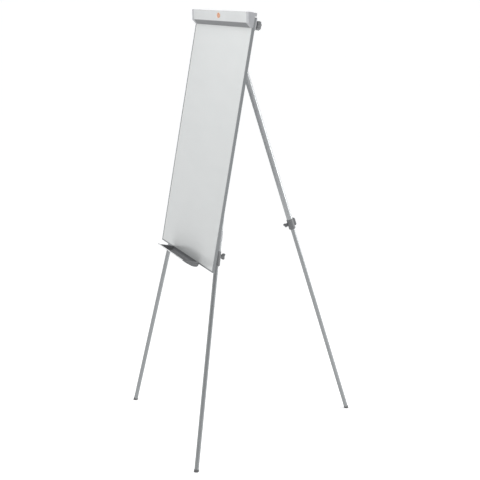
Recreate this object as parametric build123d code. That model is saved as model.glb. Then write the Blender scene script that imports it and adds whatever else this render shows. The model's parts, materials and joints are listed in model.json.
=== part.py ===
from build123d import *
import os
from math import atan2, cos, degrees, hypot, radians, sin

# Flipchart easel: a leaning whiteboard with a pad clamp bar and a pen tray, on two splayed
# front legs and one rear leg, each a two-stage telescopic tube with a clamp collar.
# Millimetres. +X is to the right facing the board, +Y runs from the user to the back, +Z is up.
# The origin lies on the floor, at the centre of the footprint.

# ---------------------------------------------------------------- driving dimensions

# stance
board_width = 675.0
board_height = 1000.0
board_lean = 10.0               # degrees that the top tips back
board_bottom_height = 776.0     # floor to the board's front bottom edge
front_foot_overhang = 106.5     # each front foot outside the board's side edge
front_pivot_inset = 212.5       # each front pivot inside the board's side edge
front_pivot_drop = 45.0         # below the board's top edge
rear_foot_reach = 764.0         # behind the board's front bottom edge
rear_pivot_drop = 52.0

# board and its edging
board_thickness = 11.0
flange_wall = 1.0
web_wall = 1.2
front_flange = 5.0
rear_flange = 12.0
face_sheet = 0.5
backing_sheet = 0.4
panel_play = 0.2

# legs
upper_tube_r = 12.5
upper_tube_wall = 1.2
lower_tube_r = 9.0
lower_tube_wall = 1.0
front_leg_gap = 5.0             # from the board's back to the front legs' tubes
rear_leg_gap = 26.5             # from the board's back to the rear leg's tube, at its pivot
further_extension = 50.0        # each lower tube can still be drawn out this far
front_least_overlap = 80.0      # lower tube inside the upper one, fully drawn out
rear_least_overlap = 60.0
top_plug_depth = 34.0
top_plug_rim = 2.0
top_plug_round = 1.2
front_tube_above_pivot = 14.0
rear_tube_above_pivot = 27.0
glide_length = 24.0
glide_cap = 2.0
glide_chamfer = 1.0
foot_height = 9.0
foot_rim = 1.0                  # rubber foot's radius beyond its tube's
foot_stem = 26.0
foot_top_round = 0.8
foot_edge_round = 1.2

# clamp collars and wing screws
collar_wall = 2.0
front_collar_length = 60.0
rear_collar_length = 46.0
front_collar_rise = 21.0        # collar's lower end above the board's bottom edge
rear_collar_rise = 897.0        # collar's lower end above the floor, along the leg
screw_below_top = 19.0
collar_lip = 6.0
collar_chamfer = 3.0
collar_round = 1.0
boss_wall = 5.0
boss_stand = 3.5                # boss beyond the collar
boss_chamfer = 1.0
ear_height = 34.0
ear_stand = 8.5                 # ear beyond the collar
ear_width = 11.0
ear_top_round = 6.0
ear_low_round = 5.0
ear_edge_round = 2.0
screw_r = 3.0
screw_tip_gap = 0.1
screw_point = 0.6
screw_cover = 5.0               # wing plastic beyond the screw's end
screw_tube_play = 0.6
wing_span = 25.0
wing_thickness = 6.5
wing_length = 14.0              # wing head beyond the boss
wing_boss_gap = 0.5
wing_hub_wall = 3.0
wing_hub_step = 4.0             # hub's end below the blade's
wing_hub_round = 1.5
wing_blade_step = 1.0
wing_tip_round = 5.0
wing_round = 3.0

# top brackets and pivots
bracket_sheet = 2.0
front_bracket_width = 62.0
front_bracket_height = 56.0
front_bracket_top_gap = 13.0    # board's top edge to the bracket's web
front_bracket_step = 6.0        # outer wall's lower edge above the base's
front_bracket_corner = 14.0
bracket_leg_gap = 1.0
fold_round = 1.5
rear_bracket_width = 74.0
rear_bracket_height = 76.0
rear_bracket_corner = 8.0
ear_side_play = 0.7
rear_ear_margin = 13.0
rear_ear_foot = 25.0            # half the ear's height at the board
rear_ear_nose = 7.0
rear_ear_round = 3.0
pivot_r = 3.0
pivot_head_r = 6.0
pivot_head = 3.0
pivot_head_round = 1.8
rivet_end_gap = 0.4
washer_r = 7.0
washer_play = 0.3
bolt_head = 4.0
bolt_head_round = 1.5
nut_r = 5.6
nut_height = 5.0
bolt_end = 1.0                  # bolt's thread beyond its nut
stop_pin_r = 2.5
stop_pin_end = 1.5
stop_pin_above_pivot = 18.0
stop_gap = 0.3

# spring clips that hold the splayed front legs
clip_height = 40.0
clip_rise = 140.0
clip_wall = 4.0
clip_lip_wall = 3.5
clip_lip_reach = 4.0            # lips pass the leg's axis by this much
clip_tab = 15.0
clip_tab_corner = 6.0
clip_play = 0.4
joint_lap = 1.0                 # how far two joined shapes run into each other

# screws
screw_head_r = 4.0
screw_head = 2.4
screw_head_round = 1.1
screw_slot = 1.0                # its width and its depth
screw_shank_r = 1.9
screw_bite = 6.0                # depth into the board behind its backing
plate_screw_inset = 9.0         # screws inside their plate's edges
driver_play = 0.6
overrun = 5.0                   # how far a drill passes the sheet that it cuts

# pad clamp bar
bar_wall = 1.8
bar_lip_drop = 38.0             # lip below the board's top edge
bar_face_drop = 24.0            # front face's lower edge below the board's top edge
bar_rise = 20.0                 # bar above the board's top edge
bar_face_depth_low = 18.3
bar_face_depth_high = 26.5
bar_hood_depth = 10.5
bar_hood_lip = 6.0              # hood's lower edge above the board's top edge
bar_back_gap = 0.6
bar_crown_height = 1.5          # the slope between the bar's face and its top
bar_crown_depth = 2.5
bar_corner_round = 2.5
bar_cap_length = 24.0
bar_cap_play = 0.3              # between the board's side and the cap's cheek
bar_cap_cheek = 1.8
bar_cap_reach = 3.0             # cheek behind the board's front face
bar_cap_corner = 2.5
bar_cap_round = 1.0
grip_skin = 1.6                 # rubber under the bar's slanted lip
grip_width = 10.0
grip_gap = 0.3
grip_end_gap = 10.0             # strip's foot to the stud's axis
badge_width = 40.0
badge_height = 23.0
badge_thickness = 1.2
badge_rise = 2.5                # above the middle of the bar's front face
badge_gap = 0.05
badge_round = 0.5

# studs, guide brackets and knobs
stud_inset = 29.5               # stud axis inside the board's side edge
stud_drop = 25.0
stud_r = 3.0
stud_head_wall = 1.5
stud_head = 3.0
stud_end_gap = 1.0
stud_play = 0.35
stud_bush_wall = 3.0
thread_pitch = 1.0
knob_turns = 10
guide_plate = 4.0
guide_width = 82.0
guide_height = 50.0
guide_rise = 3.0
guide_corner = 6.0
guide_edge_round = 1.0
knob_gap = 0.1
knob_neck_wall = 4.0
knob_neck = 9.5
knob_r = 18.0
knob_head = 18.0
knob_lobes = 6
knob_flute_r = 6.0
knob_flute_out = 2.7            # flutes' centres outside the knob's rim
knob_round = 2.0
knob_cap_wall = 2.5
insert_wall = 2.0
thread_play = 0.05

# pen tray
tray_length = 350.0
tray_wall = 1.8
tray_end_length = 13.0
tray_back_top = 6.0
tray_floor_drop = 11.5
tray_floor_depth = 26.0
tray_rise_depth = 58.0
tray_rise_height = 1.0
tray_lip_depth = 66.0
tray_lip_height = 6.5
tray_bends = [10.0, 40.0, 12.0]
tray_board_gap = 0.5
tray_bead_r = 1.9
tray_bead_rise = 0.6
tray_bead_out = 0.4
tray_clip_sheet = 1.0
tray_clip_leaf = 0.4            # the leaf between the tray and the board
tray_clip_drop = 1.0            # leaf's top below the tray's
tray_clip_width = 30.0
tray_clip_spacing = 220.0
tray_clip_grip = 10.0
tray_clip_play = 0.1
tray_pull = 30.0                # travel that takes the clips off the board

# ---------------------------------------------------------------- derived placements

front_foot_spacing = board_width + 2 * front_foot_overhang
front_pivot_spacing = board_width - 2 * front_pivot_inset
front_leg_depth = board_thickness + front_leg_gap + upper_tube_r
rear_pivot_depth = board_thickness + rear_leg_gap + upper_tube_r

foot_r = lower_tube_r + foot_rim
collar_r = upper_tube_r + collar_wall
boss_r = screw_r + boss_wall
boss_reach = collar_r + boss_stand
ear_reach = collar_r + ear_stand
wing_base = boss_reach + wing_boss_gap
wing_reach = boss_reach + wing_length
wing_hub_r = screw_r + wing_hub_wall
screw_end = wing_reach - screw_cover
stud_head_r = stud_r + stud_head_wall
stud_bush_r = stud_r + stud_bush_wall
insert_r = stud_r + insert_wall
knob_neck_r = insert_r + knob_neck_wall

lean = radians(board_lean)
panel_back = board_thickness - flange_wall
panel_half_width = board_width / 2 - web_wall - panel_play
core_thickness = board_thickness - 2 * flange_wall - face_sheet - backing_sheet

# the board's own frame: X right, Y up the board from its bottom edge, Z out of its face
board_frame = Plane(
    origin=(0, 0, board_bottom_height), x_dir=(1, 0, 0), z_dir=(0, -cos(lean), sin(lean))
)
board_up = board_frame.y_dir
board_out = board_frame.z_dir

front_floor_y = (front_leg_depth * sin(lean) - board_bottom_height) / cos(lean)
front_pivot_y = board_height - front_pivot_drop
rear_pivot_y = board_height - rear_pivot_drop
splay = atan2((front_foot_spacing - front_pivot_spacing) / 2, front_pivot_y - front_floor_y)

rear_pivot = board_frame.from_local_coords((0, rear_pivot_y, -rear_pivot_depth))
rear_foot = Vector(0, rear_foot_reach, 0)
rear_open_angle = board_lean + degrees(atan2(rear_foot.Y - rear_pivot.Y, rear_pivot.Z))

stud_x = board_width / 2 - stud_inset
stud_y = board_height - stud_drop
bar_travel = knob_turns * thread_pitch


def front_point(side, height):
    """A point on a front leg's axis, at a height up the board."""
    share = (front_pivot_y - height) / (front_pivot_y - front_floor_y)
    across = front_pivot_spacing / 2 + share * (front_foot_spacing - front_pivot_spacing) / 2
    return board_frame.from_local_coords((side * across, height, -front_leg_depth))


def leg_frame(foot, pivot, screw_side):
    """A frame at the foot: Z up the leg, Y towards the clamp screw."""
    up = (pivot - foot).normalized()
    return Plane(origin=foot, x_dir=screw_side.cross(up), z_dir=up)


class Leg:
    """Where one leg stands, and how far its pieces reach along its axis from the floor."""

    def __init__(self, name, foot, pivot, screw_side, above_pivot, overlap, collar, collar_base):
        self.name = name
        self.frame = leg_frame(foot, pivot, screw_side)
        self.foot = foot
        self.pivot = pivot
        self.up = self.frame.z_dir
        self.pivot_at = (pivot - foot).length
        self.top_at = self.pivot_at + above_pivot
        self.collar_length = collar
        self.collar_at = collar_base
        self.upper_at = collar_base + collar_lip
        self.lower_top = self.upper_at + overlap + further_extension
        self.screw_at = collar_base + collar - screw_below_top

    def place(self, shape):
        return self.frame.location * shape


def front_leg(side, name):
    foot = front_point(side, front_floor_y)
    collar_point = front_point(side, front_collar_rise)
    return Leg(
        name,
        foot,
        front_point(side, front_pivot_y),
        -board_out,
        front_tube_above_pivot,
        front_least_overlap,
        front_collar_length,
        (collar_point - foot).length,
    )


rear_up = (rear_pivot - rear_foot).normalized()
legs = {
    "left": front_leg(-1, "left"),
    "right": front_leg(1, "right"),
    "rear": Leg(
        "rear",
        rear_foot,
        rear_pivot,
        rear_up.cross(Vector(-1, 0, 0)),
        rear_tube_above_pivot,
        rear_least_overlap,
        rear_collar_length,
        rear_collar_rise,
    ),
}


# ---------------------------------------------------------------- small helpers


def rod(radius, low, high, axis=Axis.Z):
    """A round bar between two places along an axis."""
    turn = {Axis.X: Rot(0, 90, 0), Axis.Y: Rot(-90, 0, 0), Axis.Z: Rot(0, 0, 0)}[axis]
    align = (Align.CENTER, Align.CENTER, Align.MIN)
    return turn * Pos(0, 0, low) * Cylinder(radius, high - low, align=align)


def block(x_range, y_range, z_range):
    """A box given by its lowest and highest value on each axis."""
    size = [high - low for low, high in (x_range, y_range, z_range)]
    low = [x_range[0], y_range[0], z_range[0]]
    return Pos(*low) * Box(*size, align=(Align.MIN, Align.MIN, Align.MIN))


def side_prism(points, x_low, x_high, corner_round=0.0, rounded=()):
    """An outline in the (depth, height) plane of the board, drawn out along X."""
    outline = Polyline(*points, close=True)
    face = make_face(outline)
    if corner_round:
        corners = [v for v in face.vertices() if any(near(v, points[i]) for i in rounded)]
        face = fillet(corners, corner_round)
    # the sketch's X becomes the board's Z, and its Y stays up the board
    return Plane.ZY.offset(-x_high).location * extrude(face, x_high - x_low)


def near(vertex, point):
    return abs(vertex.X - point[0]) < 1e-6 and abs(vertex.Y - point[1]) < 1e-6


def on_board(shape):
    return board_frame.location * shape


# ---------------------------------------------------------------- board


def stud_points():
    return [(-stud_x, stud_y), (stud_x, stud_y)]


def guide_screw_points():
    inner = board_width / 2 - guide_width + plate_screw_inset
    outer = board_width / 2 - rear_flange - plate_screw_inset
    low = board_height + guide_rise - guide_height + plate_screw_inset
    return [(side * x, low) for side in (-1, 1) for x in (inner, outer)]


def front_bracket_screw_points():
    high = board_height - front_bracket_top_gap - plate_screw_inset
    low = high - front_bracket_height + 2 * plate_screw_inset
    reach = front_bracket_width / 2 - plate_screw_inset
    xs = [side * front_pivot_spacing / 2 + shift for side in (-1, 1) for shift in (-reach, reach)]
    return [(x, y) for x in xs for y in (low, high)]


def rear_bracket_screw_points():
    across = rear_bracket_width / 2 - plate_screw_inset
    along = rear_bracket_height / 2 - plate_screw_inset
    return [(i * across, rear_pivot_y + k * along) for i in (-1, 1) for k in (-1, 1)]


def clip_frame(side):
    """The frame of a spring clip: at its leg's axis, Z up the leg, Y to the back."""
    leg = legs["right" if side > 0 else "left"]
    middle = front_point(side, clip_rise)
    return Plane(origin=middle, x_dir=leg.frame.x_dir, z_dir=leg.up)


def clip_screw_points():
    """The clips' screws, as places on the board."""
    points = []
    for side in (-1, 1):
        frame = clip_frame(side)
        tab_x = side * (upper_tube_r + clip_play + clip_wall + clip_tab / 2)
        for shift in (-clip_height / 4, clip_height / 4):
            place = board_frame.to_local_coords(frame.from_local_coords((tab_x, 0, shift)))
            points.append((place.X, place.Y))
    return points


def screw_table():
    """Every screw in the board's back: its place, and the depth of the face under its head."""
    guide_seat = board_thickness + guide_plate
    table = [(point, guide_seat) for point in guide_screw_points()]
    plate_points = front_bracket_screw_points() + rear_bracket_screw_points()
    table += [(point, panel_back + bracket_sheet) for point in plate_points]
    table += [(point, panel_back + clip_wall) for point in clip_screw_points()]
    return table


def drill(shape, points, radius, z_low, z_high):
    for x, y in points:
        shape -= Pos(x, y, 0) * rod(radius, z_low, z_high)
    return shape


def screw(seat):
    """A pan-head screw, its head on the seat and its shank in the board."""
    head = Pos(0, 0, -seat - screw_head) * Cylinder(
        screw_head_r, screw_head, align=(Align.CENTER, Align.CENTER, Align.MIN)
    )
    rim = head.edges().filter_by(GeomType.CIRCLE).sort_by(Axis.Z)[0]
    head = fillet(rim, screw_head_round)
    top = -seat - screw_head
    half_slot = screw_slot / 2
    slot = block((-screw_head_r, screw_head_r), (-half_slot, half_slot), (top, top + screw_slot))
    return head - slot + rod(screw_shank_r, -seat, -panel_back + screw_bite)


def edging(length):
    """One rail of the U-shaped edging along X, open inwards (+Y), mitred at both ends."""
    half = length / 2
    web = block((-half, half), (0, web_wall), (-board_thickness, 0))
    front = block((-half, half), (0, front_flange), (-flange_wall, 0))
    rear = block((-half, half), (0, rear_flange), (-board_thickness, -panel_back))
    corner = [(-half, 0), (half, 0), (half - rear_flange, rear_flange)]
    corner.append((-half + rear_flange, rear_flange))
    mitre = extrude(make_face(Polyline(*corner, close=True)), board_thickness, dir=(0, 0, -1))
    return (web + front + rear) & mitre


def board_parts():
    middle = board_height / 2
    half_h = middle - web_wall - panel_play
    low, high = middle - half_h, middle + half_h
    layers = {"board_face": (-flange_wall - face_sheet, -flange_wall)}
    layers["board_core"] = (-flange_wall - face_sheet - core_thickness, -flange_wall - face_sheet)
    layers["board_backing"] = (-panel_back, -panel_back + backing_sheet)
    screw_points = [point for point, _ in screw_table()]
    parts = {}
    for name, depth in layers.items():
        sheet = block((-panel_half_width, panel_half_width), (low, high), depth)
        sheet = drill(sheet, stud_points(), stud_bush_r, -board_thickness, 0)
        if name != "board_face":
            sheet = drill(sheet, screw_points, screw_shank_r, -board_thickness, -panel_back + screw_bite)
        parts[name] = sheet

    parts["frame_rail_bottom"] = edging(board_width)
    parts["frame_rail_top"] = Pos(0, board_height, 0) * Rot(0, 0, 180) * edging(board_width)
    side_rail = edging(board_height)
    parts["frame_rail_right"] = Pos(board_width / 2, middle, 0) * Rot(0, 0, 90) * side_rail
    parts["frame_rail_left"] = Pos(-board_width / 2, middle, 0) * Rot(0, 0, -90) * side_rail

    bush = rod(stud_bush_r, -panel_back, -flange_wall) - rod(
        stud_r + stud_play, -board_thickness, 0
    )
    parts["stud_bushes"] = Compound([Pos(x, y, 0) * bush for x, y in stud_points()])
    screws = [Pos(x, y, 0) * screw(seat) for (x, y), seat in screw_table()]
    parts["board_screws"] = Compound(screws)
    return {name: on_board(shape) for name, shape in parts.items()}


def guide_bracket(side):
    """A plate behind a top corner that guides the stud and backs the knob."""
    outer = board_width / 2
    top = board_height + guide_rise
    depth = (-board_thickness - guide_plate, -board_thickness)
    plate = block((outer - guide_width, outer), (top - guide_height, top), depth)
    upright = plate.edges().filter_by(Axis.Z)
    plate = fillet(upright, guide_corner)
    rim = plate.faces().sort_by(Axis.Z)[0].edges()
    plate = fillet(rim, guide_edge_round)
    if side < 0:
        plate = mirror(plate, about=Plane.YZ)
    plate = drill(plate, [(side * stud_x, stud_y)], stud_r + stud_play, *depth)
    points = [point for point in guide_screw_points() if point[0] * side > 0]
    return on_board(drill(plate, points, screw_shank_r, *depth))


# ---------------------------------------------------------------- top brackets and pivots


def front_bracket(side):
    """A folded plate with the leg between its base and its outer wall."""
    x_mid = side * front_pivot_spacing / 2
    half = front_bracket_width / 2
    top = board_height - front_bracket_top_gap
    low = top - front_bracket_height
    base_depth = panel_back
    outer_depth = front_leg_depth + upper_tube_r + bracket_leg_gap
    across = (x_mid - half, x_mid + half)
    base = block(across, (low, top), (-base_depth - bracket_sheet, -base_depth))
    outer_wall = (-outer_depth - bracket_sheet, -outer_depth)
    outer = block(across, (low + front_bracket_step, top), outer_wall)
    web = block(across, (top - bracket_sheet, top), (-outer_depth - bracket_sheet, -base_depth))
    lower_corners = outer.edges().filter_by(Axis.Z).group_by(Axis.Y)[0]
    shape = base + fillet(lower_corners, front_bracket_corner) + web
    folds = [
        e
        for e in shape.edges().filter_by(Axis.X)
        if abs(e.center().Y - top) < 1e-6 and abs(e.center().Z + base_depth) > 1e-6
    ]
    shape = fillet(folds, fold_round)
    shape = drill(shape, [(x_mid, front_pivot_y)], pivot_r, -outer_depth - overrun, 0)
    points = [p for p in front_bracket_screw_points() if p[0] * side > 0]
    driver_way = (-outer_depth - overrun, -outer_depth + bracket_leg_gap)
    shape = drill(shape, points, screw_head_r + driver_play, *driver_way)
    shape = drill(shape, points, screw_shank_r, -base_depth - bracket_sheet, -base_depth)
    return on_board(shape)


def front_pivots():
    """Shouldered rivets through bracket and leg, and the washers that centre the leg."""
    outer = front_leg_depth + upper_tube_r + bracket_leg_gap + bracket_sheet
    shank = rod(pivot_r, -outer, -panel_back - rivet_end_gap)
    head = rod(pivot_head_r, -outer - pivot_head, -outer)
    head = fillet(head.edges().filter_by(GeomType.CIRCLE).sort_by(Axis.Z)[0], pivot_head_round)
    washer_depth = (-front_leg_depth + upper_tube_r + washer_play, -panel_back - bracket_sheet)
    washer = rod(washer_r, *washer_depth) - rod(pivot_r, *washer_depth)
    places = [Pos(side * front_pivot_spacing / 2, front_pivot_y, 0) for side in (-1, 1)]
    rivets = Compound([place * (shank + head) for place in places])
    washers = Compound([place * washer for place in places])
    return on_board(rivets), on_board(washers)


def rear_ear_outline():
    """The hinge ears' outline, as (depth out of the face, height up the board)."""
    back = rear_pivot_depth + rear_ear_margin
    base = panel_back + bracket_sheet / 2
    nose = rear_ear_margin - rear_ear_nose
    return [
        (-base, rear_pivot_y - rear_ear_foot),
        (-back + rear_ear_nose, rear_pivot_y - rear_ear_margin),
        (-back, rear_pivot_y - nose),
        (-back, rear_pivot_y + nose),
        (-back + rear_ear_nose, rear_pivot_y + rear_ear_margin),
        (-base, rear_pivot_y + rear_ear_foot),
    ]


def stop_pin_place():
    """The open leg's top end rests on this pin, in front of the tube."""
    leg = legs["rear"]
    ahead = upper_tube_r + stop_pin_r + stop_gap
    point = leg.frame.from_local_coords((0, ahead, leg.pivot_at + stop_pin_above_pivot))
    local = board_frame.to_local_coords(point)
    return Pos(0, local.Y, local.Z)


def rear_bracket_parts():
    half = rear_bracket_width / 2
    low, high = rear_pivot_y - rear_bracket_height / 2, rear_pivot_y + rear_bracket_height / 2
    base = block((-half, half), (low, high), (-panel_back - bracket_sheet, -panel_back))
    base = fillet(base.edges().filter_by(Axis.Z), rear_bracket_corner)
    inner = upper_tube_r + ear_side_play
    outer = inner + bracket_sheet
    pivot_place = Pos(0, rear_pivot_y, -rear_pivot_depth)
    pin_place = stop_pin_place()
    shape = base
    for x_low, x_high in ((-outer, -inner), (inner, outer)):
        shape += side_prism(rear_ear_outline(), x_low, x_high, rear_ear_round, (1, 2, 3, 4))
    shape -= pivot_place * rod(pivot_r, -outer - overrun, outer + overrun, Axis.X)
    shape -= pin_place * rod(stop_pin_r, -outer - overrun, outer + overrun, Axis.X)
    shape = drill(
        shape, rear_bracket_screw_points(), screw_shank_r, -panel_back - bracket_sheet, -panel_back
    )
    head = rod(nut_r, outer, outer + bolt_head, Axis.X)
    head = fillet(head.edges().filter_by(GeomType.CIRCLE).sort_by(Axis.X)[-1], bolt_head_round)
    bolt = rod(pivot_r, -outer - nut_height - bolt_end, outer, Axis.X) + head
    hexagon = extrude(RegularPolygon(nut_r, 6), nut_height)
    nut = Pos(-outer, 0, 0) * Rot(0, -90, 0) * hexagon
    nut -= rod(pivot_r, -outer - nut_height - overrun, 0, Axis.X)
    pin = rod(stop_pin_r, -outer - stop_pin_end, outer + stop_pin_end, Axis.X)
    parts = {
        "rear_bracket": shape,
        "rear_pivot_bolt": pivot_place * bolt,
        "rear_pivot_nut": pivot_place * nut,
        "rear_stop_pin": pin_place * pin,
    }
    return {name: on_board(piece) for name, piece in parts.items()}


def leg_clip(side):
    """A moulded cradle on the board's back, open towards the middle so the leg can swing in."""
    seat_r = upper_tube_r + clip_play
    board_y = panel_back - front_leg_depth
    wall = seat_r + clip_wall
    half = clip_height / 2
    lip_y = seat_r + clip_lip_wall
    body = block((-wall, wall), (board_y, lip_y), (-half, half))
    body = fillet(body.edges().filter_by(Axis.Z).group_by(Axis.Y)[-1], clip_lip_wall / 2)
    body -= rod(seat_r, -half, half)
    body -= block((-2 * wall, 0), (-seat_r, seat_r), (-half, half))
    body -= block((-2 * wall, -clip_lip_reach), (0, lip_y), (-half, half))
    tab = block((wall - joint_lap, wall + clip_tab), (board_y, board_y + clip_wall), (-half, half))
    tab = fillet(tab.edges().filter_by(Axis.Y).group_by(Axis.X)[-1], clip_tab_corner)
    shape = body + tab
    if side < 0:
        shape = mirror(shape, about=Plane.YZ)
    for shift in (-clip_height / 4, clip_height / 4):
        hole = rod(screw_shank_r, board_y, board_y + clip_wall, Axis.Y)
        shape -= Pos(side * (wall + clip_tab / 2), 0, shift) * hole
    return clip_frame(side).location * shape


# ---------------------------------------------------------------- pad clamp bar


def lip_points(skin):
    """The ends of the slanted lip, moved into the bar by the thickness of its rubber."""
    run = bar_face_depth_low - bar_back_gap
    slope = (bar_lip_drop - bar_face_drop) / run
    lift = skin * hypot(1, slope)
    face_run = bar_face_depth_high - bar_face_depth_low
    face_rise = bar_rise - bar_crown_height + bar_face_drop
    share = lift / (face_rise - slope * face_run)
    inner = (bar_back_gap, board_height - bar_lip_drop + lift)
    outer = (bar_face_depth_low + share * face_run, board_height - bar_face_drop + share * face_rise)
    return inner, outer


def bar_outline(skin=0.0):
    """The bar's section, as (depth out of the face, height up the board)."""
    top = board_height
    return [
        *lip_points(skin),
        (bar_face_depth_high, top + bar_rise - bar_crown_height),
        (bar_face_depth_high - bar_crown_depth, top + bar_rise),
        (-bar_hood_depth, top + bar_rise),
        (-bar_hood_depth, top + bar_hood_lip),
        (bar_back_gap, top + bar_hood_lip),
    ]


def bar_end_cap(inner, outer):
    """The right end cap: the bar's section, with a cheek that laps the board's side."""
    cap = side_prism(bar_outline(), inner, outer, bar_corner_round, (1, 4))
    low = board_height - bar_lip_drop
    high = board_height + bar_hood_lip
    cheek = block((outer - bar_cap_cheek, outer), (low, high), (-bar_cap_reach, bar_back_gap))
    corner = cheek.edges().filter_by(Axis.X).group_by(Axis.Y)[0].sort_by(Axis.Z)[0]
    cap += fillet(corner, bar_cap_corner)
    return fillet(cap.faces().sort_by(Axis.X)[-1].edges(), bar_cap_round)


def grip_strip(half):
    """Rubber under the slanted lip, with a foot that holds the pad against the board."""
    lip = [*lip_points(0.0), *reversed(lip_points(grip_skin))]
    low = board_height - bar_lip_drop
    foot_half = stud_x - grip_end_gap
    foot_depth = (-flange_wall + grip_gap, bar_back_gap)
    return side_prism(lip, -half, half) + block(
        (-foot_half, foot_half), (low, low + grip_width), foot_depth
    )


def clamp_bar_parts():
    half = board_width / 2 + bar_cap_play + bar_cap_cheek
    bar_half = half - bar_cap_length
    points = bar_outline(grip_skin)
    bar = side_prism(points, -bar_half, bar_half, bar_corner_round, (4,))
    face = make_face(Polyline(*points, close=True))
    cavity = offset(face, -bar_wall, kind=Kind.INTERSECTION)
    bar -= Plane.ZY.offset(-half).location * extrude(cavity, 2 * half)
    bar = drill(bar, stud_points(), stud_r, -bar_hood_depth, bar_back_gap + bar_wall)
    cap_right = bar_end_cap(bar_half, half)

    face_rise = bar_rise - bar_crown_height + bar_face_drop
    tilt = degrees(atan2(bar_face_depth_high - bar_face_depth_low, face_rise))
    height = board_height - bar_face_drop + face_rise / 2
    depth = (bar_face_depth_low + bar_face_depth_high) / 2
    disc = extrude(Ellipse(badge_width / 2, badge_height / 2), badge_thickness)
    disc = fillet(disc.faces().sort_by(Axis.Z)[-1].edges(), badge_round)
    disc = Pos(0, badge_rise, badge_gap) * disc
    badge = Pos(0, height, depth) * Rot(tilt, 0, 0) * disc

    stud_back = -board_thickness - guide_plate - knob_gap - knob_neck - knob_head + knob_cap_wall
    front = bar_back_gap + bar_wall
    stud = rod(stud_r, stud_back + stud_end_gap, front) + rod(stud_head_r, front, front + stud_head)
    studs = Compound([Pos(x, y, 0) * stud for x, y in stud_points()])
    parts = {
        "clamp_bar": bar,
        "clamp_bar_cap_right": cap_right,
        "clamp_bar_cap_left": mirror(cap_right, about=Plane.YZ),
        "grip_strip": grip_strip(bar_half),
        "accent_badge": badge,
        "clamp_studs": studs,
    }
    return {name: on_board(shape) for name, shape in parts.items()}


def knob_parts(side):
    """A lobed hand knob with a threaded insert, on the stud behind the board."""
    near_face = -board_thickness - guide_plate - knob_gap
    head_near = near_face - knob_neck
    head_far = head_near - knob_head
    head = rod(knob_r, head_far, head_near)
    for i in range(knob_lobes):
        flute = rod(knob_flute_r, head_far, head_near)
        turn = Rot(0, 0, (i + 0.5) * 360 / knob_lobes)
        head -= turn * Pos(knob_r + knob_flute_out, 0, 0) * flute
    head = fillet(head.faces().sort_by(Axis.Z)[0].edges(), knob_round)
    knob = head + rod(knob_neck_r, head_near, near_face)
    pocket = (head_far + knob_cap_wall, near_face)
    knob -= rod(insert_r, *pocket)
    insert = rod(insert_r, *pocket) - rod(stud_r + thread_play, *pocket)
    place = Pos(side * stud_x, stud_y, 0)
    return on_board(place * knob), on_board(place * insert)


# ---------------------------------------------------------------- pen tray


def tray_path():
    """The middle of the tray's wall, as (depth out of the face, height up the board)."""
    back = tray_board_gap + tray_wall / 2
    corners = [
        (back, tray_back_top),
        (back, -tray_floor_drop),
        (tray_floor_depth, -tray_floor_drop),
        (tray_rise_depth, tray_rise_height),
        (tray_lip_depth, tray_lip_height),
    ]
    return FilletPolyline(*corners, radius=tray_bends)


def tray_end_outline():
    """The filled section between the tray's wall and a straight top edge."""
    path = tray_path()
    top = Line(path @ 1, path @ 0)
    return make_face(Wire(path.edges() + top.edges()))


def tray_parts():
    half = tray_length / 2
    inner_half = half - tray_end_length
    path = tray_path()
    section = trace(path, tray_wall)
    shell = Plane.ZY.offset(-inner_half).location * extrude(section, 2 * inner_half)
    bead_place = Pos(0, tray_lip_height + tray_bead_rise, tray_lip_depth + tray_bead_out)
    bead = bead_place * rod(tray_bead_r, -inner_half, inner_half, Axis.X)
    shell -= bead
    filled = section + tray_end_outline()
    end = Plane.ZY.offset(-half).location * extrude(filled, tray_end_length)
    nose = bead_place * rod(tray_bead_r, inner_half, half, Axis.X)
    end_right = end + nose

    # the clips hook under the bottom rail and grip its rear flange
    under = -tray_clip_play
    front_z = tray_board_gap
    rear_z = -board_thickness - tray_clip_play
    sheet = tray_clip_sheet
    leaf_top = tray_back_top - tray_clip_drop
    leaf = [
        (front_z, leaf_top),
        (front_z - tray_clip_leaf, leaf_top),
        (front_z - tray_clip_leaf, under),
        (rear_z, under),
        (rear_z, tray_clip_grip),
        (rear_z - sheet, tray_clip_grip),
        (rear_z - sheet, under - sheet),
        (front_z, under - sheet),
    ]
    width = tray_clip_width / 2
    places = [Pos(side * tray_clip_spacing / 2, 0, 0) for side in (-1, 1)]
    clip = side_prism(leaf, -width, width)
    parts = {
        "pen_tray": shell,
        "tray_lip": bead,
        "tray_end_right": end_right,
        "tray_end_left": mirror(end_right, about=Plane.YZ),
        "tray_clips": Compound([place * clip for place in places]),
    }
    return {name: on_board(shape) for name, shape in parts.items()}


# ---------------------------------------------------------------- legs


def upper_tube(leg):
    tube = rod(upper_tube_r, leg.upper_at, leg.top_at)
    tube -= rod(upper_tube_r - upper_tube_wall, leg.upper_at, leg.top_at)
    tube -= Pos(0, 0, leg.screw_at) * rod(screw_r + screw_tube_play, 0, collar_r, Axis.Y)
    return tube - pivot_bore(leg)


def pivot_axis(leg):
    return Axis.X if leg.name == "rear" else Axis.Y


def pivot_bore(leg):
    reach = upper_tube_r + overrun
    bore = rod(pivot_r + thread_play, -reach, reach, pivot_axis(leg))
    return Pos(0, 0, leg.pivot_at) * bore


def top_plug(leg):
    """Closes the tube and carries the pivot."""
    inner = upper_tube_r - upper_tube_wall
    low = leg.pivot_at - top_plug_depth / 2
    plug = rod(inner, low, leg.top_at) + rod(upper_tube_r, leg.top_at, leg.top_at + top_plug_rim)
    rim = plug.edges().filter_by(GeomType.CIRCLE).sort_by(Axis.Z)[-1]
    return fillet(rim, top_plug_round) - pivot_bore(leg)


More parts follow.
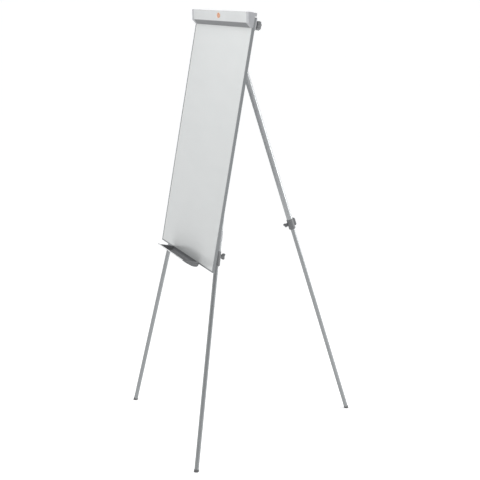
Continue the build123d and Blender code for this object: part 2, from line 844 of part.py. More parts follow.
def collar(leg):
    """The moulded collar: glued round the upper tube, a guide lip for the lower one."""
    low = leg.collar_at
    high = low + leg.collar_length
    shape = rod(collar_r, low, high)
    shape = chamfer(shape.edges().filter_by(GeomType.CIRCLE).sort_by(Axis.Z)[0], collar_chamfer)
    shape = fillet(shape.edges().filter_by(GeomType.CIRCLE).sort_by(Axis.Z)[-1], collar_round)
    boss = Pos(0, 0, leg.screw_at) * rod(boss_r, 0, boss_reach, Axis.Y)
    boss = chamfer(boss.edges().filter_by(GeomType.CIRCLE).sort_by(Axis.Y)[-1], boss_chamfer)
    shape += boss
    if leg.name == "rear":
        shape += rear_ear(high)
    shape -= rod(upper_tube_r, low + collar_lip, high)
    shape -= rod(lower_tube_r + thread_play, low, high)
    return shape - Pos(0, 0, leg.screw_at) * rod(screw_r + thread_play, 0, boss_reach, Axis.Y)


def rear_ear(high):
    """The thumb ear on the rear collar, opposite its screw."""
    half = ear_width / 2
    ear = block((-half, half), (-ear_reach, 0), (high - ear_height, high))
    high_edge = ear.edges().filter_by(Axis.X).group_by(Axis.Y)[0].sort_by(Axis.Z)[-1]
    ear = fillet(high_edge, ear_top_round)
    low_edge = ear.edges().filter_by(Axis.X).group_by(Axis.Y)[0].sort_by(Axis.Z)[0]
    ear = fillet(low_edge, ear_low_round)
    return fillet(ear.edges().filter_by(Axis.Z).group_by(Axis.Y)[0], ear_edge_round)


def clamp_screw(leg):
    tip = lower_tube_r + screw_tip_gap
    stem = rod(screw_r, tip, screw_end, Axis.Y)
    stem = chamfer(stem.edges().filter_by(GeomType.CIRCLE).sort_by(Axis.Y)[0], screw_point)
    return Pos(0, 0, leg.screw_at) * stem


def wing_head(leg):
    """The wing grip: a round hub and a flat blade, upright at the front, level at the rear."""
    hub = rod(wing_hub_r, wing_base, wing_reach - wing_hub_step, Axis.Y)
    hub = fillet(hub.edges().filter_by(GeomType.CIRCLE).sort_by(Axis.Y)[-1], wing_hub_round)
    half_t, half_s = wing_thickness / 2, wing_span / 2
    blade = block((-half_t, half_t), (wing_base + wing_blade_step, wing_reach), (-half_s, half_s))
    tips = blade.edges().filter_by(Axis.X)
    blade = fillet(tips.group_by(Axis.Y)[-1], wing_tip_round)
    blade = fillet(blade.edges().filter_by(Axis.X).group_by(Axis.Y)[0], wing_round)
    grip = hub + blade - rod(screw_r, 0, screw_end, Axis.Y)
    turn = Rot(0, 90, 0) if leg.name == "rear" else Rot(0, 0, 0)
    return Pos(0, 0, leg.screw_at) * turn * grip


def lower_tube(leg):
    low, high = foot_height, leg.lower_top
    return rod(lower_tube_r, low, high) - rod(lower_tube_r - lower_tube_wall, low, high)


def glide_bush(leg):
    """The plastic sleeve on the lower tube's top end, running inside the upper tube."""
    outer = upper_tube_r - upper_tube_wall - thread_play
    low, high = leg.lower_top - glide_length, leg.lower_top
    sleeve = rod(outer, low, high + glide_cap)
    rims = sleeve.edges().filter_by(GeomType.CIRCLE)
    return chamfer(rims, glide_chamfer) - rod(lower_tube_r, low, high)


def foot_tip(leg):
    """A rubber foot, plugged into the lower tube and flat on the floor."""
    tip = rod(foot_r, -3 * foot_height, foot_height)
    tip = fillet(tip.edges().filter_by(GeomType.CIRCLE).sort_by(Axis.Z)[-1], foot_top_round)
    stem = rod(lower_tube_r - lower_tube_wall, foot_height, foot_height + foot_stem)
    shape = leg.place(tip + stem)
    size = 10 * foot_r
    below = Pos(leg.foot.X, leg.foot.Y, -size / 2) * Box(size, size, size)
    shape -= below
    sole = shape.faces().sort_by(Axis.Z)[0]
    return fillet(sole.edges(), foot_edge_round)


def leg_parts(leg):
    shapes = {
        f"upper_tube_{leg.name}": upper_tube(leg),
        f"top_plug_{leg.name}": top_plug(leg),
        f"clamp_collar_{leg.name}": collar(leg),
        f"clamp_screw_{leg.name}": clamp_screw(leg),
        f"wing_head_{leg.name}": wing_head(leg),
        f"lower_tube_{leg.name}": lower_tube(leg),
        f"glide_bush_{leg.name}": glide_bush(leg),
    }
    parts = {name: leg.place(shape) for name, shape in shapes.items()}
    parts[f"foot_{leg.name}"] = foot_tip(leg)
    return parts


# ---------------------------------------------------------------- assembly

parts = board_parts()
for side, word in ((-1, "left"), (1, "right")):
    parts[f"guide_bracket_{word}"] = guide_bracket(side)
    parts[f"front_bracket_{word}"] = front_bracket(side)
    parts[f"leg_clip_{word}"] = leg_clip(side)
    parts[f"knob_{word}"], parts[f"knob_insert_{word}"] = knob_parts(side)
parts["front_pivot_rivets"], parts["front_pivot_washers"] = front_pivots()
parts.update(rear_bracket_parts())
parts.update(clamp_bar_parts())
parts.update(tray_parts())
for leg in legs.values():
    parts.update(leg_parts(leg))

# the origin is the middle of the footprint, so everything moves there together
footprint = Compound([parts[f"foot_{name}"] for name in legs]).bounding_box()
origin_y = (footprint.min.Y + footprint.max.Y) / 2
to_origin = Pos(0, -origin_y, 0)

os.makedirs("parts", exist_ok=True)
for name, shape in parts.items():
    export_step(to_origin * shape, f"parts/{name}.step")
print(f"{len(parts)} sub-parts, footprint middle {origin_y:.2f} mm behind the board's lower edge")
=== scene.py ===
# %% [markdown]
# A flipchart easel: a leaning whiteboard on two splayed front legs and one rear leg.
# The sizes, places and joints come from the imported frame, so a number below is either read from
# it or belongs to a small detail or a finish. Blender's unit here is the metre.

# %% The frame
import json
from math import atan2, cos, degrees, pi, radians, sin, tau

import bmesh
import bpy
from mathutils import Matrix, Vector


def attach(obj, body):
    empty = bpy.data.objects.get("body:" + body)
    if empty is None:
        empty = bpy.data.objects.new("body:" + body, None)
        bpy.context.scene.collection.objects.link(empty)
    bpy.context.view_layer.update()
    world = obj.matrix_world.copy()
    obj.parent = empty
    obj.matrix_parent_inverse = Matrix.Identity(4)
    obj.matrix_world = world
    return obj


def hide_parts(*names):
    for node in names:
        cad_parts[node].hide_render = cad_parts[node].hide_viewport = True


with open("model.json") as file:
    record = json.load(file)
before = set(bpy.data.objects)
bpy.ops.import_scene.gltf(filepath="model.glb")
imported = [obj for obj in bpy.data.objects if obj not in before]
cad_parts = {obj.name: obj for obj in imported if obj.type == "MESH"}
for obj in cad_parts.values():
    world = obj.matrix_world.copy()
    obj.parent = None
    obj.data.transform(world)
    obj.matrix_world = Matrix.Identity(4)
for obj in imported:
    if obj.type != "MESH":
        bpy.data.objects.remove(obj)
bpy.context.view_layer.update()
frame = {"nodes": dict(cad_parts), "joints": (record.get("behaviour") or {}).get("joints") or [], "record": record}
nodes = frame["nodes"]
joints = {joint["name"]: joint for joint in frame["joints"]}

# %% [markdown]
# A number written in millimetres is easier to read on an object of this kind, so lengths of
# details go through one small helper.

# %% Millimetres
def mm(length):
    return length / 1000


# %% [markdown]
# The board leans back and the legs splay, so a detail is easiest to make in a space of its own:
# one axis up the board or up the leg, one out of the face. Each space is a matrix built from a
# joint's axis. `span` then reads how far a CAD node reaches in such a space, so that a new piece
# takes its size from the part that it dresses.

# %% Spaces of the board and the legs
def space(across, up, origin=(0, 0, 0)):
    """X across, Y up, Z out of the plane that holds them."""
    across = Vector(across).normalized()
    up = Vector(up).normalized()
    out = across.cross(up)
    turned = Matrix((across, up, out)).transposed().to_4x4()
    return Matrix.Translation(origin) @ turned


def points_in(node, place):
    inward = place.inverted()
    return [inward @ v.co for v in nodes[node].data.vertices]


def span(node, place):
    """Lowest and highest corner of a CAD node, measured in a space."""
    points = points_in(node, place)
    low = Vector([min(p[i] for p in points) for i in range(3)])
    high = Vector([max(p[i] for p in points) for i in range(3)])
    return low, high


board_up = -Vector(joints["pen_tray_unclip"]["axis"])
board_space = space((1, 0, 0), board_up)
leg_names = ("left", "right", "rear")
leg_up = {name: Vector(joints[f"lower_leg_{name}_slide"]["axis"]) for name in leg_names}
lean = degrees(board_up.angle(Vector((0, 0, 1))))
print(f"the board leans back {lean:.1f} degrees from upright")

# %% [markdown]
# The camera stands at the easel's right, a little higher than its top, and looks slightly down.
# A long lens keeps the tall board's sides almost parallel, as a product picture has them.

# %% Camera
camera_data = bpy.data.cameras.new("camera")
camera = bpy.data.objects.new("camera", camera_data)
bpy.context.scene.collection.objects.link(camera)
looks_down = 12.102
turned_left = 69.305
camera.location = (4.5142, -1.7887, 1.8572)
camera.rotation_euler = (radians(90 - looks_down), 0, radians(turned_left))
camera_data.sensor_width = 36
camera_data.lens = 86.74
camera_data.clip_end = 2000
bpy.context.scene.camera = camera
print(f"lens {camera_data.lens} mm, {camera.location.length:.2f} m from the origin")

# %% [markdown]
# White things on a white ground need light that is uneven but soft. One panel hangs above and in
# front, so the board darkens a little downwards and the bar casts a soft shadow. A weak panel in
# front lifts the board's foot, and a strong one behind gives the legs a bright flank. A pale room
# fills the rest: it is the world's colour, white along the horizon where it meets the floor,
# dimmer above that and brighter overhead.

# %% Light
scene = bpy.context.scene
scene.view_settings.view_transform = "Standard"


def panel(name, place, aim, size, power):
    """A square light that faces a point, with its power in watts."""
    data = bpy.data.lights.new(name, "AREA")
    data.size = size
    data.energy = power
    light = bpy.data.objects.new(name, data)
    light.location = place
    light.rotation_euler = (Vector(aim) - Vector(place)).to_track_quat("-Z", "Y").to_euler()
    scene.collection.objects.link(light)


panel("top_panel", (0.35, -0.95, 2.75), (0.0, -0.2, 1.6), 1.0, 13.5)
panel("front_panel", (-0.2, -3.2, 0.9), (0.0, -0.3, 0.7), 1.2, 2.5)
panel("back_panel", (0.5, 2.6, 1.3), (0.0, 0.2, 0.9), 1.2, 38)

world = bpy.data.worlds.new("pale_room")
scene.world = world
world.use_nodes = True
room = world.node_tree
coords = room.nodes.new("ShaderNodeTexCoord")
height = room.nodes.new("ShaderNodeSeparateXYZ")
room.links.new(coords.outputs["Generated"], height.inputs[0])
ramp = room.nodes.new("ShaderNodeValToRGB")
shades = ((0.10, 1.0), (0.18, 0.33), (1.0, 0.93))
ramp.color_ramp.elements.new(0.5)
for stop, (level, shade) in zip(ramp.color_ramp.elements, shades):
    stop.position = level
    stop.color = (shade, shade, shade, 1)
room.links.new(height.outputs["Z"], ramp.inputs[0])
room.links.new(ramp.outputs[0], room.nodes["Background"].inputs["Strength"])
room.nodes["Background"].inputs["Color"].default_value = (0.98, 0.99, 1.0, 1)
print("three panels in a pale room")

# %% [markdown]
# The floor is a plain pale sheet that reaches far behind the easel, so no edge shows. It is part
# of the stage, not of the easel.

# %% Floor
def mesh_object(name, bm, smooth=True):
    """Turns a bmesh into a linked object."""
    data = bpy.data.meshes.new(name)
    bm.to_mesh(data)
    bm.free()
    for face in data.polygons:
        face.use_smooth = smooth
    piece = bpy.data.objects.new(name, data)
    scene.collection.objects.link(piece)
    return piece


bm = bmesh.new()
bmesh.ops.create_grid(bm, x_segments=1, y_segments=1, size=400)
floor = mesh_object("floor", bm, smooth=False)
print("floor laid")

# %% [markdown]
# Every finish starts the same way: a Principled shader and the point on the surface, measured
# in the object's own space in metres, so a pattern keeps its real size on every piece. `Finish`
# holds the node tree and gives short names to the few nodes that each finish needs.

# %% A small kit for finishes
class Finish:
    def __init__(self, name, colour, roughness, metal=0.0):
        self.material = bpy.data.materials.new(name)
        self.material.use_nodes = True
        self.tree = self.material.node_tree
        self.shader = self.tree.nodes["Principled BSDF"]
        self.colour = (*colour, 1)
        self.shader.inputs["Base Color"].default_value = self.colour
        self.shader.inputs["Roughness"].default_value = roughness
        self.shader.inputs["Metallic"].default_value = metal
        self.bumps = None
        coords = self.tree.nodes.new("ShaderNodeTexCoord")
        self.point = coords.outputs["Object"]

    def set(self, **sockets):
        for name, value in sockets.items():
            self.shader.inputs[name.replace("_", " ")].default_value = value
        return self

    def node(self, kind, **settings):
        made = self.tree.nodes.new(kind)
        for name, value in settings.items():
            setattr(made, name, value)
        return made

    def link(self, start, end):
        self.tree.links.new(start, end)

    def stretched(self, place, factors):
        """The point in another space, with each of its axes scaled."""
        turn = self.node("ShaderNodeMapping", vector_type="TEXTURE")
        turn.inputs["Rotation"].default_value = place.to_euler()
        self.link(self.point, turn.inputs[0])
        scale = self.node("ShaderNodeMapping")
        scale.inputs["Scale"].default_value = factors
        self.link(turn.outputs[0], scale.inputs[0])
        return scale.outputs[0]

    def noise(self, scale, detail, point=None):
        made = self.node("ShaderNodeTexNoise")
        made.inputs["Scale"].default_value = scale
        made.inputs["Detail"].default_value = detail
        self.link(point or self.point, made.inputs["Vector"])
        return made.outputs["Fac"]

    def cells(self, scale, feature="F1"):
        made = self.node("ShaderNodeTexVoronoi", feature=feature)
        made.inputs["Scale"].default_value = scale
        self.link(self.point, made.inputs["Vector"])
        return made.outputs["Distance"]

    def ranged(self, value, low, high, start=0.3, end=0.7):
        made = self.node("ShaderNodeMapRange")
        made.inputs["From Min"].default_value = start
        made.inputs["From Max"].default_value = end
        made.inputs["To Min"].default_value = low
        made.inputs["To Max"].default_value = high
        self.link(value, made.inputs["Value"])
        return made.outputs[0]

    def uneven_gloss(self, value, low, high, start=0.3, end=0.7):
        self.link(self.ranged(value, low, high, start, end), self.shader.inputs["Roughness"])

    def tint(self, value, other, share, start=0.3, end=0.7):
        """Mixes a share of another colour in where the value is high."""
        made = self.node("ShaderNodeMix", data_type="RGBA")
        made.inputs[6].default_value = self.colour
        made.inputs[7].default_value = (*other, 1)
        old = self.shader.inputs["Base Color"]
        if old.is_linked:
            self.link(old.links[0].from_socket, made.inputs[6])
        self.link(self.ranged(value, 0.0, share, start, end), made.inputs[0])
        self.link(made.outputs[2], old)

    def bump(self, value, depth, strength):
        """Adds one more layer of relief on top of the earlier ones, with its depth in metres."""
        made = self.node("ShaderNodeBump")
        made.inputs["Distance"].default_value = depth
        made.inputs["Strength"].default_value = strength
        self.link(value, made.inputs["Height"])
        if self.bumps:
            self.link(self.bumps.outputs[0], made.inputs["Normal"])
        self.bumps = made
        self.link(made.outputs[0], self.shader.inputs["Normal"])

    def edge_wear_and_highlight(self, radius, colour, share):
        """Lightens the colour where the surface turns sharply: edge wear on most parts, a painted highlight on the
        pen tray's ends.
        """
        rounded = self.node("ShaderNodeBevel", samples=4)
        rounded.inputs["Radius"].default_value = radius
        flat = self.node("ShaderNodeNewGeometry")
        facing = self.node("ShaderNodeVectorMath", operation="DOT_PRODUCT")
        self.link(rounded.outputs[0], facing.inputs[0])
        self.link(flat.outputs["Normal"], facing.inputs[1])
        self.tint(facing.outputs["Value"], colour, share, 0.98, 0.75)


for plain in list(bpy.data.materials):
    bpy.data.materials.remove(plain)
print("the kit can mix colour, gloss, relief and worn edges")

# %% [markdown]
# The writing surface is steel sheet under a baked white lacquer. Lacquer flows before it sets,
# which leaves a very shallow ripple, and years of wiping leave faint long smears that change
# its gloss more than its colour.

# %% Whiteboard lacquer
enamel = Finish("whiteboard_enamel", (0.56, 0.573, 0.568), 0.32)
enamel.set(Coat_Weight=0.35, Coat_Roughness=0.12, Specular_IOR_Level=0.5)
wiped = enamel.noise(5.0, 2.0, enamel.stretched(board_space, (1.0, 4.0, 1.0)))
enamel.uneven_gloss(wiped, 0.28, 0.34)
enamel.tint(wiped, (0.54, 0.553, 0.553), 0.35, 0.4, 0.9)
enamel.bump(enamel.noise(240.0, 1.0), mm(0.006), 0.15)
print("white lacquer:", enamel.material.name)

# %% [markdown]
# Rolled and extruded aluminium keeps fine lines along its length, even under matt anodising.
# The lines are noise squeezed across the rail and drawn out along it, so the side rails and the
# top and bottom rails each get a version turned their own way.

# %% Anodised edging
def anodised(name, along):
    metal = Finish(name, (0.25, 0.26, 0.265), 0.4, metal=0.8)
    factors = [1.0, 1.0, 1.0]
    factors[along] = 0.012
    lines = metal.noise(2600.0, 2.0, metal.stretched(board_space, factors))
    metal.uneven_gloss(lines, 0.33, 0.47)
    metal.tint(lines, (0.31, 0.32, 0.33), 0.5)
    metal.bump(lines, mm(0.008), 0.4)
    metal.edge_wear_and_highlight(mm(0.5), (0.62, 0.63, 0.64), 0.6)
    return metal


side_edging = anodised("side_edging", 1)
cross_edging = anodised("cross_edging", 0)
print("two cuts of edging")

# %% [markdown]
# Powder coat is baked from dust, so it sets with a dense even pebble. A second, coarser noise at
# about a tenth of the scale keeps that pebble from looking printed.

# %% Powder coats
def powder_coat(name, colour):
    coat = Finish(name, colour, 0.42)
    coat.set(Specular_IOR_Level=0.5)
    coat.bump(coat.noise(1500.0, 1.0), mm(0.02), 0.45)
    coat.bump(coat.noise(160.0, 1.0), mm(0.03), 0.25)
    patches = coat.noise(9.0, 3.0)
    coat.uneven_gloss(patches, 0.37, 0.49)
    darker = [0.94 * share for share in colour]
    coat.tint(patches, darker, 0.6)
    return coat


bar_coat = powder_coat("clamp_bar", (0.545, 0.555, 0.555))
bracket_coat = powder_coat("bracket_steel", (0.30, 0.31, 0.32))
bracket_coat.edge_wear_and_highlight(mm(0.6), (0.50, 0.51, 0.52), 0.7)
print("powder coats:", bar_coat.material.name, bracket_coat.material.name)

# %% [markdown]
# The legs are steel tube under a satin silver coat. The metal flakes make it shade like metal,
# and the drawn tube still shows very fine lines along its length. Rubbing in the clamp leaves
# the lower tubes a little glossier in long streaks.

# %% Leg tubes
def leg_coat(name, up, grey, rubbed):
    coat = Finish(name, (grey, grey + 0.01, grey + 0.015), 0.30, metal=0.6)
    coat.set(Coat_Weight=0.25, Coat_Roughness=0.2)
    along = space(up.orthogonal(), up)
    lines = coat.noise(1400.0, 2.0, coat.stretched(along, (1.0, 0.02, 1.0)))
    coat.bump(lines, mm(0.008), 0.35)
    streaks = coat.noise(90.0, 3.0, coat.stretched(along, (1.0, 0.06, 1.0)))
    coat.uneven_gloss(streaks, 0.27 - rubbed, 0.40)
    coat.tint(streaks, (grey + 0.04, grey + 0.05, grey + 0.055), 0.5 + rubbed)
    coat.bump(coat.noise(900.0, 1.0), mm(0.006), 0.3)
    return coat


upper_coats = {name: leg_coat(f"upper_coat_{name}", leg_up[name], 0.33, 0.0) for name in leg_names}
lower_coats = {name: leg_coat(f"lower_coat_{name}", leg_up[name], 0.26, 0.08) for name in leg_names}
print(f"{len(upper_coats) + len(lower_coats)} leg coats")

# %% [markdown]
# Moulded plastic copies its steel mould, which is etched to a fine even texture. Two cell
# patterns of different size make that texture, and a slow noise gives the slight cloudiness of
# a part that has been handled.

# %% Moulded plastics
def moulding(name, colour, roughness, texture=1.0, worn=None):
    plastic = Finish(name, colour, roughness)
    plastic.bump(plastic.cells(1600.0, "SMOOTH_F1"), mm(0.03 * texture), 0.5)
    plastic.bump(plastic.noise(3200.0, 2.0), mm(0.015 * texture), 0.4)
    clouds = plastic.noise(38.0, 3.0)
    plastic.uneven_gloss(clouds, roughness - 0.07, roughness + 0.08)
    plastic.tint(clouds, [0.90 * share for share in colour], 0.6)
    # A pale edge colour is edge wear, except on the pen tray's ends, where it is a painted highlight.
    if worn:
        plastic.edge_wear_and_highlight(mm(0.5), worn, 0.5)
    return plastic


light_plastic = moulding("light_grey_plastic", (0.41, 0.415, 0.43), 0.48)
pale_plastic = moulding("pale_plastic", (0.82, 0.825, 0.82), 0.42, 0.6)
dark_plastic = moulding("dark_grey_plastic", (0.165, 0.168, 0.173), 0.5, 1.0, (0.27, 0.27, 0.275))
# The pen tray's ends: the dark colour is painted shade on their outer walls, and the pale edges are a painted
# highlight along their lit rims.
tray_end_shade_and_highlight = moulding("tray_end_shade_and_highlight", (0.17, 0.173, 0.178), 0.5, 1.0, (0.75, 0.75, 0.75))
knob_plastic = moulding("knob_plastic", (0.235, 0.24, 0.245), 0.45, 1.0, (0.33, 0.33, 0.335))
nylon = moulding("white_nylon", (0.78, 0.78, 0.75), 0.38, 0.3)
nylon.set(Subsurface_Weight=0.15, Subsurface_Scale=0.002)
print("six plastics")

# %% [markdown]
# Rubber has almost no gloss. Feet pick up pale dust from the floor, so theirs has speckles that
# the lip under the bar doesn't. That lip is painted shade: a dark rubber strip under the bar, where
# its slanted underside lies in shadow.

# %% Rubbers
def rubber(name, colour, dust):
    tread = Finish(name, colour, 0.78)
    tread.bump(tread.noise(1100.0, 3.0), mm(0.05), 0.5)
    specks = tread.noise(420.0, 4.0)
    paler = [0.10 + share for share in colour]
    tread.tint(specks, paler, dust, 0.5, 0.8)
    tread.uneven_gloss(specks, 0.7, 0.88)
    return tread


foot_rubber = rubber("foot_rubber", (0.15, 0.15, 0.153), 0.5)
# The dark strip under the clamp bar is painted shade: a dark sheet where the bar's underside lies in shadow.
grip_rubber = rubber("grip_rubber", (0.22, 0.225, 0.23), 0.15)
print("two rubbers")

# %% [markdown]
# The small metal parts: zinc plate is bright with faint cloudy crystals, and the brass inserts
# keep the rings of the lathe.

# %% Plated steel and brass
zinc = Finish("zinc_steel", (0.60, 0.61, 0.62), 0.3, metal=1.0)
crystals = zinc.cells(420.0)
zinc.uneven_gloss(crystals, 0.22, 0.40, 0.0, 1.0)
zinc.tint(zinc.noise(150.0, 3.0), (0.66, 0.63, 0.55), 0.4)
zinc.bump(crystals, mm(0.01), 0.2)

brass = Finish("brass_insert", (0.72, 0.50, 0.22), 0.34, metal=1.0)
rings = brass.noise(4200.0, 1.0, brass.stretched(board_space, (0.05, 0.05, 1.0)))
brass.bump(rings, mm(0.02), 0.4)
brass.tint(brass.noise(200.0, 3.0), (0.50, 0.34, 0.16), 0.5)
print("zinc and brass")

# %% [markdown]
# The board's back is a thin lacquered foil, pressed with a fine hammered pattern that hides
# dents, over a honeycomb of brown card that only its drilled edges would show.

# %% Back foil, card core, badge and floor
foil = Finish("backing_sheet", (0.56, 0.57, 0.58), 0.38, metal=0.25)
hammered = foil.cells(260.0, "SMOOTH_F1")
foil.bump(hammered, mm(0.12), 0.3)
foil.tint(foil.noise(5.0, 4.0), (0.50, 0.51, 0.525), 0.6)
foil.uneven_gloss(foil.noise(22.0, 4.0), 0.32, 0.46)

card = Finish("board_core", (0.40, 0.29, 0.18), 0.85)
card.tint(card.cells(120.0, "DISTANCE_TO_EDGE"), (0.28, 0.20, 0.12), 0.8, 0.0, 0.12)
card.bump(card.noise(600.0, 4.0), mm(0.1), 0.5)

orange = Finish("badge_orange", (0.50, 0.17, 0.045), 0.25)
orange.set(Coat_Weight=0.6, Coat_Roughness=0.08)
orange.tint(orange.noise(260.0, 2.0), (0.43, 0.13, 0.035), 0.5)
orange.bump(orange.noise(900.0, 1.0), mm(0.01), 0.3)

peach = Finish("badge_rim", (0.68, 0.42, 0.27), 0.3)
peach.set(Coat_Weight=0.4, Coat_Roughness=0.1)
peach.tint(peach.noise(300.0, 2.0), (0.68, 0.42, 0.28), 0.5)

floor_paint = Finish("floor_paint", (0.93, 0.93, 0.93), 0.7)
floor_paint.set(Emission_Color=(1, 1, 1, 1), Emission_Strength=0.37)
floor_paint.uneven_gloss(floor_paint.noise(3.0, 3.0), 0.65, 0.8)
floor.data.materials.append(floor_paint.material)
print("foil, card, badge and floor")

# %% [markdown]
# The frame's record gives each CAD node the name of a finish. A node keeps its shape and only
# gets the finish built above. The edging and the tubes have their own, because their lines must
# run their own way, and so have the pen tray's ends, which carry painted light: painted shade
# in their dark colour and a painted highlight in their pale edges.

# %% Finishes on the CAD nodes
shared = {
    finish.material.name: finish
    for finish in (
        enamel, bar_coat, bracket_coat, light_plastic, pale_plastic, dark_plastic, nylon,
        foot_rubber, grip_rubber, zinc, brass, foil, card, orange,
    )
}
own = {
    "frame_rail_left": side_edging,
    "frame_rail_right": side_edging,
    "frame_rail_top": cross_edging,
    "frame_rail_bottom": cross_edging,
    "tray_end_left": tray_end_shade_and_highlight,
    "tray_end_right": tray_end_shade_and_highlight,
}
for name in leg_names:
    own[f"upper_tube_{name}"] = upper_coats[name]
    own[f"lower_tube_{name}"] = lower_coats[name]

slot_of = {row["node"]: row["material_slot"] for row in frame["record"]["subparts"]}
for name, node in nodes.items():
    finish = own[name] if name in own else shared[slot_of[name]]
    node.data.materials.clear()
    node.data.materials.append(finish.material)
worn = {node.data.materials[0].name for node in nodes.values()}
print(f"{len(nodes)} nodes dressed in {len(worn)} finishes")

# %% [markdown]
# The round small parts are turned shapes: a profile spun about an axis. A plain spin gives only
# plain rounds, so `turned` lets the radius vary with the angle, which makes lobes and flutes. A
# profile is a list of (radius, height) points in metres.

# %% Turned shapes
def axis_space(axis, origin):
    """A space whose Z runs along an axis."""
    axis = Vector(axis).normalized()
    across = axis.orthogonal().normalized()
    return space(across, axis.cross(across), origin)


def turned(bm, place, profile, steps, wave=None):
    """Spins a profile about Z. A point on the axis makes one vertex instead of a ring."""
    rings = []
    for radius, height in profile:
        ring = []
        for i in range(steps if radius else 1):
            angle = tau * i / steps
            reach = radius * (wave(angle, height) if wave else 1)
            point = Vector((reach * cos(angle), reach * sin(angle), height))
            ring.append(bm.verts.new(place @ point))
        rings.append(ring)
    for low, high in zip(rings, rings[1:]):
        for i in range(steps):
            j = i + 1
            corners = [low[i % len(low)], low[j % len(low)]]
            corners += [high[j % len(high)], high[i % len(high)]]
            bm.faces.new(dict.fromkeys(corners))
    bmesh.ops.recalc_face_normals(bm, faces=bm.faces)


def dress(piece, finish, slot, body, *stands_for):
    """Gives a new piece its finish and its body, and hides the CAD nodes that it stands for."""
    piece.data.materials.append(finish.material)
    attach(piece, body)
    if stands_for:
        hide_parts(*stands_for)


def crisp(piece, angle):
    """Keeps edges sharper than an angle in degrees sharp under smooth shading."""
    split = piece.modifiers.new("crisp", "EDGE_SPLIT")
    split.split_angle = radians(angle)


print("turned shapes ready")

# %% [markdown]
# Each bracket is held by pan-head screws with a cross recess. The recess is the detail that makes
# a screw read as one. Its outline has 24 points, and so has every ring of the head, so the two
# join without any boolean. The places come from the CAD screws: points closer together than a
# screw's spacing belong to one screw.

# %% Screw heads
def screw_places(node, reach):
    """The middle of each screw in board space, at the height of its head's outer face."""
    groups = []
    for point in points_in(node, board_space):
        for group in groups:
            if (group[0].xy - point.xy).length < reach:
                group.append(point)
                break
        else:
            groups.append([point])
    places = []
    for group in groups:
        middle = [(min(p[i] for p in group) + max(p[i] for p in group)) / 2 for i in range(2)]
        places.append(Vector((*middle, min(p.z for p in group))))
    return places


def cross_outline(arm, half):
    """24 points round a cross, in order of their angle."""
    mid = (arm + half) / 2
    corner = [(mid, -half), (arm, -half), (arm, 0), (arm, half), (mid, half), (half, half)]
    points = []
    for quarter in range(4):
        turn = Matrix.Rotation(quarter * pi / 2, 2)
        points += [turn @ Vector(point) for point in corner]
    return points


head_radius = mm(4.0)
head_height = mm(2.4)
recess_arm = mm(1.9)
recess_half = mm(0.42)
recess = [(0.45, mm(1.3)), (0.80, mm(1.2)), (1.0, 0.0)]
dome = [(0.58, 0.98), (0.74, 0.91), (0.87, 0.76), (0.96, 0.50), (1.0, 0.22), (1.0, 0.0)]


def screw_head(bm, place):
    """Rings from the recess's floor up to its rim and on down the dome, joined by faces."""
    outline = cross_outline(recess_arm, recess_half)
    angles = [atan2(point.y, point.x) for point in outline]
    rings = []
    for share, depth in recess:
        rings.append([Vector((*(share * point), head_height - depth)) for point in outline])
    for share, level in dome:
        reach = share * head_radius
        rings.append([Vector((reach * cos(a), reach * sin(a), level * head_height)) for a in angles])
    made = [[bm.verts.new(place @ point) for point in ring] for ring in rings]
    count = len(outline)
    for low, high in zip(made, made[1:]):
        for i in range(count):
            j = (i + 1) % count
            bm.faces.new((low[i], low[j], high[j], high[i]))
    bm.faces.new(made[0])
    bm.faces.new(reversed(made[-1]))


bm = bmesh.new()
screw_spacing = mm(10)
screws = screw_places("board_screws", screw_spacing)
backward = board_space @ Matrix.Rotation(pi, 4, "X")
twist_step = 2.4
for number, spot in enumerate(screws):
    seat = Matrix.Translation((spot.x, -spot.y, -spot.z - head_height))
    twist = Matrix.Rotation(twist_step * number, 4, "Z")
    screw_head(bm, backward @ seat @ twist)
bmesh.ops.recalc_face_normals(bm, faces=bm.faces)
heads = mesh_object("screw_heads", bm)
dress(heads, zinc, "zinc_steel", "board", "board_screws")
crisp(heads, 35)
print(len(screws), "screw heads")

# %% [markdown]
# The two hand knobs behind the board are moulded, with a collar at the board's side, a groove
# for the fingertips and a head with six flutes. A flute is part of a circle, so near a flute the
# head's radius follows that circle, and between flutes it stays the same. Lengths in this cell
# are in millimetres until they go through mm.

# %% Knobs
flutes = 6
flute_radius = 6.0
flute_centre = 20.7
flute_start = 10.5
knob_radius = 18.0


def fluted(angle, height):
    """The share of the radius that is left at an angle round the knob's head."""
    if height < mm(flute_start):
        return 1.0
    off = (angle + pi / flutes) % (tau / flutes) - pi / flutes
    inside = flute_radius ** 2 - (flute_centre * sin(off)) ** 2
    if inside <= 0:
        return 1.0
    reach = flute_centre * cos(off) - inside ** 0.5
    return min(1.0, reach / knob_radius)


